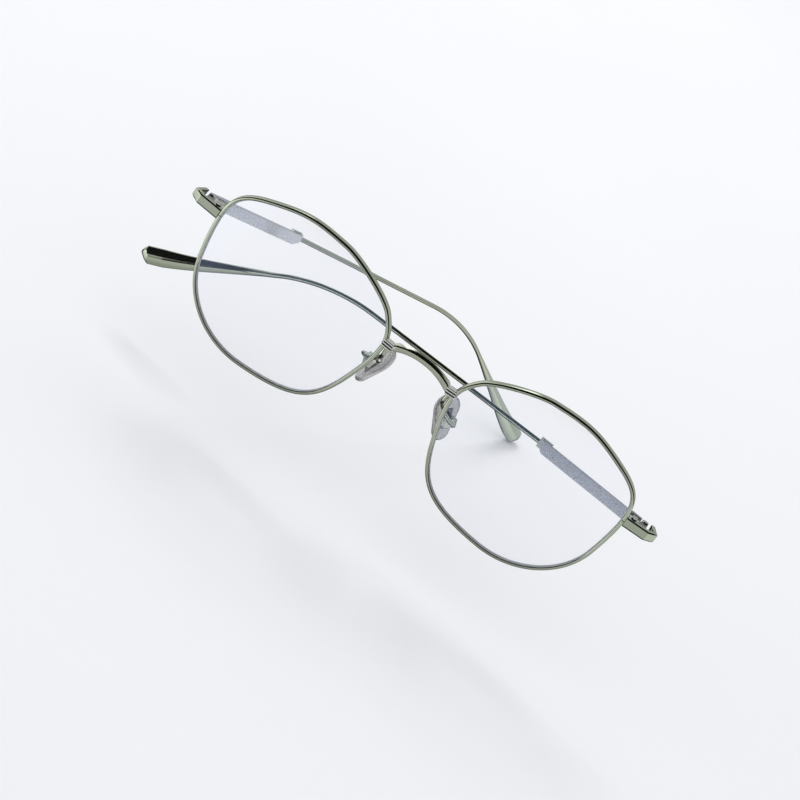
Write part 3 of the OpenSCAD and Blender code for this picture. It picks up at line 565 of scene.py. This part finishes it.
pad_turn = {side: turn("y", -PAD_LEAN) @ turn("z", 180 - PAD_SPLAY[side]) for side in PAD_SPLAY}
arm_out = (RIM_W + ARM_D + 2 * ARM_ASIDE) / 2
arm_top = C0 + (COLLAR_W / 2 + SEAT) * C_ALONG + arm_out * C_OUT + ARM_BEHIND * C_BACK
arm_low = arm_top + ARM_START
for side in ("left", "right"):
    face_dir = pad_turn[side] @ [1, 0, 0]
    end = PAD_AT[side] - (BOX_BACK + SEAT) * face_dir
    knots = [arm_low, arm_low + ARM_SWING, end - ARM_LOOP * face_dir, end]
    u = np.linspace(0, 1, 60)[:, None]
    weights = (1 - u) ** 3, 3 * u * (1 - u) ** 2, 3 * u * u * (1 - u), u ** 3
    loop = sum(k * w for k, w in zip(knots, weights))
    arm_path = np.concatenate([arm_top + (arm_low - arm_top) * np.linspace(0, 0.9, 8)[:, None], loop])
    arm_radius = np.full(len(arm_path), ARM_D / 2)
    arm_radius[0] = ARM_D / 2 * 0.8
    make_piece("pad_wire_" + side, side_of(tube(arm_path, arm_radius), side), "front", GREEN,
               "pad_arm_" + side)

# %% [markdown]
# ## Nose pads
# A drop-shaped cushion: the outline is the hull of a large and a small circle, moved inwards by the
# profile's inset while it rises from the back over the rounded edge to the crowned face.

# %% Nose pads
def drop_outline(inset, count=96):
    """Hull of two circles in (y, z), by the angle of its normal, with the straight flanks filled in."""
    low_r, top_r = PAD_W * LOW_SHARE - inset, PAD_W / 2 - inset
    low_c, top_c = np.array([0, -PAD_L / 2 + PAD_W * LOW_SHARE]), np.array([0, PAD_L / 2 - PAD_W / 2])
    gap = top_c - low_c
    base = math.atan2(gap[1], gap[0])
    open_by = math.acos((low_r - top_r) / np.linalg.norm(gap))
    top_q = base + np.linspace(open_by, -open_by, count // 3)
    low_q = base - open_by + np.linspace(0, -(2 * math.pi - 2 * open_by), count // 3)
    top = top_c + top_r * np.stack([np.cos(top_q), np.sin(top_q)], -1)
    low = low_c + low_r * np.stack([np.cos(low_q), np.sin(low_q)], -1)
    s = np.linspace(0, 1, count // 6 + 2)[1:-1, None]
    return np.concatenate([top, top[-1] + s * (low[0] - top[-1]), low, low[-1] + s * (top[0] - low[-1])])


def smooth_curve(points, count):
    """Catmull-Rom curve through the points."""
    p = np.asarray(points, float)
    p = np.concatenate([[2 * p[0] - p[1]], p, [2 * p[-1] - p[-2]]])
    out = []
    for i in range(1, len(p) - 2):
        for u in np.linspace(0, 1, count, endpoint=False):
            out.append(0.5 * (2 * p[i] + (p[i + 1] - p[i - 1]) * u
                              + (2 * p[i - 1] - 5 * p[i] + 4 * p[i + 1] - p[i + 2]) * u * u
                              + (3 * p[i] - p[i - 1] - 3 * p[i + 1] + p[i + 2]) * u ** 3))
    return np.array(out + [p[-2]])


PAD_PROFILE = [(1.1, 0.08), (0.5, 0.0), (0.1, 0.3), (0.0, 0.7), (0.2, 1.25), (0.75, 1.8), (1.5, 2.12)]
SPINE_LOW, SPINE_HIGH = -2.4, 1.2
HOLLOW, CROWN = 0.1, 0.13


def pad_rings():
    """Rings of the edge by (inset, x), closed on both faces towards a short line in the pad's middle."""
    edge = smooth_curve(PAD_PROFILE, 5)
    rings = []
    for inset, x in edge:
        ring = drop_outline(inset)
        rings.append(np.stack([np.full(len(ring), x), ring[:, 0], ring[:, 1]], -1))
    first, last = rings[0], rings[-1]

    def inner(ring, share, x):
        """The ring at height x, shrunk to a share of its way out from the middle line."""
        level = np.full(len(ring), x)
        line = np.stack([level, np.zeros(len(ring)), np.clip(ring[:, 2], SPINE_LOW, SPINE_HIGH)], -1)
        return line + share * (np.stack([level, ring[:, 1], ring[:, 2]], -1) - line)

    x_back, x_front = PAD_PROFILE[0][1], PAD_PROFILE[-1][1]
    back = [inner(first, s, x_back + HOLLOW * (1 - s)) for s in (0.05, 0.35, 0.7)]
    front = [inner(last, s, x_front + CROWN * (1 - s * s)) for s in (0.75, 0.5, 0.25, 0.05)]
    return np.array(back + rings + front)


def pad_place(points, side):
    """From the pad's own axes to the frame, rocked on its screw."""
    p = np.asarray(points) - [PIN_X, 0, 0]
    p = p @ turn("y", PAD_ROCK[side]).T + [PIN_X, 0, 0]
    return side_of(p @ pad_turn[side].T + PAD_AT[side], side)


for side in ("left", "right"):
    pad = make_piece("soft_pad_" + side, pad_place(pad_rings(), side), "pad_" + side, SILICONE,
                     "nose_pad_" + side, sharp=70)

# %% [markdown]
# ## Temples
# Drawn open, with y along the arm, x outwards and z up, then turned about the tilted hinge axis.
# The wire runs straight and then round the ear bend, centre (0, run, -R); the tip widens from it.

# %% Temple wires and tips
WIRE_RUN = STRAIGHT_L - (PLATE_END - FERRULE_L / 2)
NECK_L = TEMPLE_L - STRAIGHT_L - BEND_R * math.radians(BEND_ANGLE) - TIP_L
LIFT_FROM = NECK_L + TIP_L - LIFT_L


def temple_place(points, side):
    """Hinge turn, hinge tilt and hinge point, in that order."""
    m = turn("x", -HINGE_TILT) @ turn("z", 90 - FOLD[side])
    return side_of(np.asarray(points) @ m.T + HINGE, side)


def wire_place(points, side):
    """The wire's own line, sloping slightly below the plate."""
    start = [PLATE_IN + PLATE_T + (WIRE_D + WIRE_BED) / 2, PLATE_END - FERRULE_L / 2, WIRE_A]
    return temple_place(np.asarray(points) @ turn("x", -WIRE_DROP).T + start, side)


def wire_path():
    """The straight run and the bend, R (sin q, cos q - 1) past its end."""
    far = np.linspace(0, WIRE_RUN, 24, endpoint=False)
    run = np.stack([0 * far, far, 0 * far], -1)
    q = np.radians(np.linspace(0, BEND_ANGLE, 60))
    bend = np.stack([0 * q, WIRE_RUN + BEND_R * np.sin(q), BEND_R * (np.cos(q) - 1)], -1)
    return np.concatenate([run, bend])


tip_shares = np.array([(-0.5, -0.3), (0.08, -0.5), (0.5, -0.2), (0.5, 0.2), (0.08, 0.5), (-0.5, 0.3)])
tip_section = rounded(tip_shares * [TIP_H, TIP_T], [0.16, 0.13, 0.13, 0.13, 0.13, 0.16],
                      arc=4, crown=0.08, split=4)
TIP_MIDDLE = np.array([0.1 * TIP_H, 0])
TIP_ENDS = [(1.7, 0.97), (1.2, 0.79), (POINT_L * 0.45, 0.63), (0.4, 0.38), (0.08, 0.20), (0, 0.14)]


def tip_ring(s, f, k):
    """f goes from the round wire to the ridged paddle, k is its size: (1 - f) q + f (k (c - m) + m),
    with q on the wire, c on the paddle and m its middle; past LIFT_FROM the tip rises by the square."""
    q = unit(tip_section * [0.5, 1]) * WIRE_D / 2
    p = (1 - f) * q + f * (k * (tip_section - TIP_MIDDLE) + TIP_MIDDLE)
    lift = LIFT_CURVE * max(s - LIFT_FROM, 0) ** 2
    return np.stack([p[:, 1], np.full(len(p), s), p[:, 0] - f * TIP_H * TIP_SHIFT + lift], -1)


def tip_rings():
    """The widening neck, the even paddle and the point's rings, by (length left, size)."""
    rings = [tip_ring(SEAT + (NECK_L - SEAT) * t, t ** 1.25, 1) for t in np.linspace(0, 1, 70)]
    end = NECK_L + TIP_L
    rings += [tip_ring(NECK_L + (TIP_L - POINT_L) * t, 1, 1) for t in np.linspace(0.1, 1, 10)]
    rings += [tip_ring(end - back, 1, size) for back, size in TIP_ENDS]
    return np.array(rings) + [0, 0, BEND_R]


def tip_place(points, side):
    """From the tip's own line to the end of the bend."""
    p = np.asarray(points) @ turn("x", -BEND_ANGLE).T + [0, WIRE_RUN, -BEND_R]
    return wire_place(p, side)


for side in ("left", "right"):
    body = "temple_" + side
    make_piece("ear_wire_" + side, wire_place(tube(wire_path(), WIRE_D / 2, 24), side), body, GREEN,
               "temple_wire_" + side)
    make_piece("ear_tip_" + side, tip_place(tip_rings(), side), body, GREEN,
               "temple_tip_" + side)

# %% [markdown]
# ## Plates, endpieces, locks, hinges and screws
# These keep the exact solids. Their meshes stay as they are: modifiers join the points,
# clear the flat faces of spare edges and ease the sharp edges by a few hundredths of a millimetre.

# %% Exact pieces
WELD_M, FLAT_DEG, SHARP_DEG = 2e-6, 1.0, 28


def dress(node, material, ease):
    """Material and modifiers for an exact piece, with its sharp edges eased by so many millimetres."""
    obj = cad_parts[node]
    obj.data.materials.clear()
    obj.data.materials.append(material)
    for polygon in obj.data.polygons:
        polygon.material_index = 0
    weld = obj.modifiers.new("weld", "WELD")
    weld.merge_threshold = WELD_M
    flat = obj.modifiers.new("flat", "DECIMATE")
    flat.decimate_type = "DISSOLVE"
    flat.angle_limit = math.radians(FLAT_DEG)
    bevel = obj.modifiers.new("ease", "BEVEL")
    bevel.width = ease * MM
    bevel.segments = 3
    bevel.limit_method = "ANGLE"
    bevel.angle_limit = math.radians(SHARP_DEG)
    bevel.use_clamp_overlap = True
    normals = obj.modifiers.new("normals", "WEIGHTED_NORMAL")
    normals.keep_sharp = False


for side in ("left", "right"):
    dress("endpiece_" + side, GREEN, 0.12)
    dress("temple_plate_" + side, SATIN, 0.10)
    dress("ferrule_" + side, GREEN, 0.12)
    for node in ("lock_upper_", "lock_lower_", "hinge_temple_", "pad_box_"):
        dress(node + side, BRIGHT, 0.05)
    # Hinge fronts and pad cores take the darkened plating, a painted shade.
    for node in ("hinge_front_", "pad_core_"):
        dress(node + side, SHADE_DARKENED_PLATING, 0.05)
for node in ("lock_screws", "hinge_screws", "pad_screws"):
    dress(node, STEEL, 0.03)

# %% [markdown]
# ## Floor
# A plain pale disk just under the lowest point of the resting glasses.
# Polished metal doesn't see it, so that its highlights come from the studio alone.

# %% Floor
FLOOR_R, FLOOR_SIDES, FLOOR_GAP = 4, 48, 0.00002


def pale_floor(z):
    """Dull disk, 4 m in radius, at height z."""
    material, nodes, links, shader, where = new_material("floor")
    cloud = noise(nodes, links, where, 3, 2)
    links.new(two_tone(nodes, links, cloud, (0.86, 0.865, 0.88), (0.885, 0.89, 0.905)),
              shader.inputs["Base Color"])
    grain = noise(nodes, links, where, 400, 3)
    links.new(between(nodes, links, grain, 0.7, 0.9), shader.inputs["Roughness"])
    shader.inputs["Specular IOR Level"].default_value = 0.2
    q = np.linspace(0, 2 * math.pi, FLOOR_SIDES, endpoint=False)
    verts = [(FLOOR_R * math.cos(a), FLOOR_R * math.sin(a), z) for a in q]
    mesh = bpy.data.meshes.new("floor")
    mesh.from_pydata(verts, [], [list(range(FLOOR_SIDES))])
    mesh.materials.append(material)
    obj = bpy.data.objects.new("floor", mesh)
    bpy.context.scene.collection.objects.link(obj)
    obj.visible_glossy = False
    obj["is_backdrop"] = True


low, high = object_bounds()
pale_floor(low[2] - FLOOR_GAP)
print("floor at", round(low[2] / MM, 2), "mm")

# %% [markdown]
# ## Studio light
# The eye and the floor see a plain pale surrounding. Gloss sees a room by direction (x, y, z): grey
# levels along z for the front and the back half, a narrow lit box at the back left, a dark low
# corner beside it, and brighter sides. The ramps below give each level at its direction.

# %% Studio light
FRONT = [(-1, 0.02), (-0.87, 0.04), (-0.79, 0.21), (-0.5, 0.31), (-0.22, 0.37), (-0.125, 0.30),
         (-0.09, 0.004), (1, 0.002)]
BACK = [(-1, 0.02), (-0.80, 0.06), (-0.5, 0.17), (-0.1, 0.24), (0.2, 0.28), (0.6, 0.27), (0.70, 0.24),
        (0.76, 0.004), (1, 0.003)]
BOX_ACROSS = [(-0.50, 0), (-0.45, 1), (-0.30, 1), (-0.24, 0)]
BOX_UP = [(0.46, 0), (0.52, 1), (0.71, 1), (0.75, 0)]
BEHIND = [(-0.05, 0), (0.22, 1)]
SIDES = [(-1, 2.0), (-0.60, 2.0), (-0.45, 1.0), (0.5, 1.0), (0.85, 1.4)]
WHITE = [(-1, 1), (1, 1)]
CORNER = [(-0.42, 0.03), (-0.25, 1)]
LOW_PART = [(-0.30, 1), (-0.12, 0)]


def ramp(nodes, links, value, stops):
    """Grey level by value, through the stops (value, level), with values from -1 to 1."""
    scale = nodes.new("ShaderNodeMapRange")
    scale.inputs["From Min"].default_value, scale.inputs["From Max"].default_value = -1, 1
    links.new(value, scale.inputs["Value"])
    node = nodes.new("ShaderNodeValToRGB")
    band = node.color_ramp
    band.elements.remove(band.elements[1])
    band.elements[0].position = (stops[0][0] + 1) / 2
    band.elements[0].color = (stops[0][1],) * 3 + (1,)
    for at, level in stops[1:]:
        band.elements.new((at + 1) / 2).color = (level, level, level, 1)
    links.new(scale.outputs["Result"], node.inputs["Fac"])
    return node.outputs["Color"]


def mixed(nodes, links, fac, a, b, kind="MIX"):
    """Colours a and b joined by a share or by a socket that gives it."""
    node = nodes.new("ShaderNodeMix")
    node.data_type, node.blend_type = "RGBA", kind
    if isinstance(fac, float):
        node.inputs["Factor"].default_value = fac
    else:
        links.new(fac, node.inputs["Factor"])
    links.new(a, node.inputs["A"])
    links.new(b, node.inputs["B"])
    return node.outputs["Result"]


def studio():
    """For gloss, the front half is grey below the horizon and black above it; the back half is bright up
    to about 45 degrees, with the lit box added and its low left corner darkened; both are dark
    straight below, and the sides are brighter. All other rays see the plain background."""
    world = bpy.data.worlds.new("studio")
    bpy.context.scene.world = world
    world.use_nodes = True
    nodes, links = world.node_tree.nodes, world.node_tree.links
    plain = nodes["Background"]
    plain.inputs["Color"].default_value = (0.93, 0.94, 0.96, 1)
    plain.inputs["Strength"].default_value = 0.89
    split = nodes.new("ShaderNodeSeparateXYZ")
    links.new(nodes.new("ShaderNodeTexCoord").outputs["Generated"], split.inputs["Vector"])
    x, y, z = (split.outputs[k] for k in "XYZ")
    front, back = ramp(nodes, links, z, FRONT), ramp(nodes, links, z, BACK)
    box, lit = ramp(nodes, links, x, BOX_ACROSS), ramp(nodes, links, z, BOX_UP)
    behind, sides = ramp(nodes, links, y, BEHIND), ramp(nodes, links, x, SIDES)
    glow = mixed(nodes, links, 1.0, box, lit, "MULTIPLY")
    back = mixed(nodes, links, 1.0, back, glow, "ADD")
    white, corner = ramp(nodes, links, z, WHITE), ramp(nodes, links, x, CORNER)
    dimmed = mixed(nodes, links, ramp(nodes, links, z, LOW_PART), white, corner)
    back = mixed(nodes, links, 1.0, back, dimmed, "MULTIPLY")
    room = mixed(nodes, links, behind, front, back)
    room = mixed(nodes, links, 1.0, room, sides, "MULTIPLY")
    seen = nodes.new("ShaderNodeBackground")
    links.new(room, seen.inputs["Color"])
    seen.inputs["Strength"].default_value = 2.0
    rays = nodes.new("ShaderNodeLightPath")
    mix = nodes.new("ShaderNodeMixShader")
    links.new(rays.outputs["Is Glossy Ray"], mix.inputs["Fac"])
    links.new(plain.outputs["Background"], mix.inputs[1])
    links.new(seen.outputs["Background"], mix.inputs[2])
    links.new(mix.outputs["Shader"], nodes["World Output"].inputs["Surface"])


def soft_lamp(name, at, aim, size, power):
    """Round lamp of so many metres and watts that gives soft shadows and no highlight of its own."""
    data = bpy.data.lights.new(name, "AREA")
    data.shape, data.size, data.energy = "DISK", size, power
    obj = bpy.data.objects.new(name, data)
    bpy.context.scene.collection.objects.link(obj)
    obj.visible_glossy = obj.visible_transmission = False
    back = unit(np.array(at) - aim)
    x = unit(np.cross([0, 0, 1], back))
    y = np.cross(back, x)
    m = np.eye(4)
    m[:3, 0], m[:3, 1], m[:3, 2], m[:3, 3] = x, y, back, at
    obj.matrix_world = Matrix(m.tolist())


studio()
soft_lamp("softbox", (-0.5, 0.7, 1.0), (0, 0, 0), 0.5, 5.0)

# %% [markdown]
# ## Camera
# It stands where the photograph was taken from, fitted to the frame's landmarks: above the glasses,
# rolled by 36 degrees, with a long lens.

# %% Camera
YAW, PITCH, ROLL = 2.05703, 26, 36.2623
PLACE = np.array([0.893, -2.276, 589.73])
LENS_MM, SENSOR_MM = 112.5, 36.0


def camera():
    """Rows of the fitted view: right, down and forward, in the frame's axes. The glasses' origin lies
    at PLACE, in millimetres, in the camera's axes."""
    swap = np.array([[1, 0, 0], [0, 0, -1], [0, 1, 0]], float)
    rows = turn("z", ROLL) @ turn("x", PITCH) @ turn("y", YAW) @ swap
    data = bpy.data.cameras.new("camera")
    data.lens, data.sensor_width = LENS_MM, SENSOR_MM
    data.clip_start, data.clip_end = 0.05, 20
    obj = bpy.data.objects.new("camera", data)
    bpy.context.scene.collection.objects.link(obj)
    m = np.eye(4)
    m[:3, 0], m[:3, 1], m[:3, 2] = rows[0], -rows[1], -rows[2]
    m[:3, 3] = -rows.T @ PLACE * MM
    obj.matrix_world = Matrix(m.tolist())
    bpy.context.scene.camera = obj
    print("camera at", m[:3, 3].round(4))


camera()
bpy.context.scene.view_settings.view_transform = "Standard"

# %% [markdown]
# ## Sizes and the end
# The box of the imported solids and the box of the dressed glasses are kept side by side.

# %% Sizes and the end
visual_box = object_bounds()
boxes = {"cad": cad_box, "visual": visual_box}
for name, box in boxes.items():
    print(name, [[round(v / MM, 2) for v in corner] for corner in box])
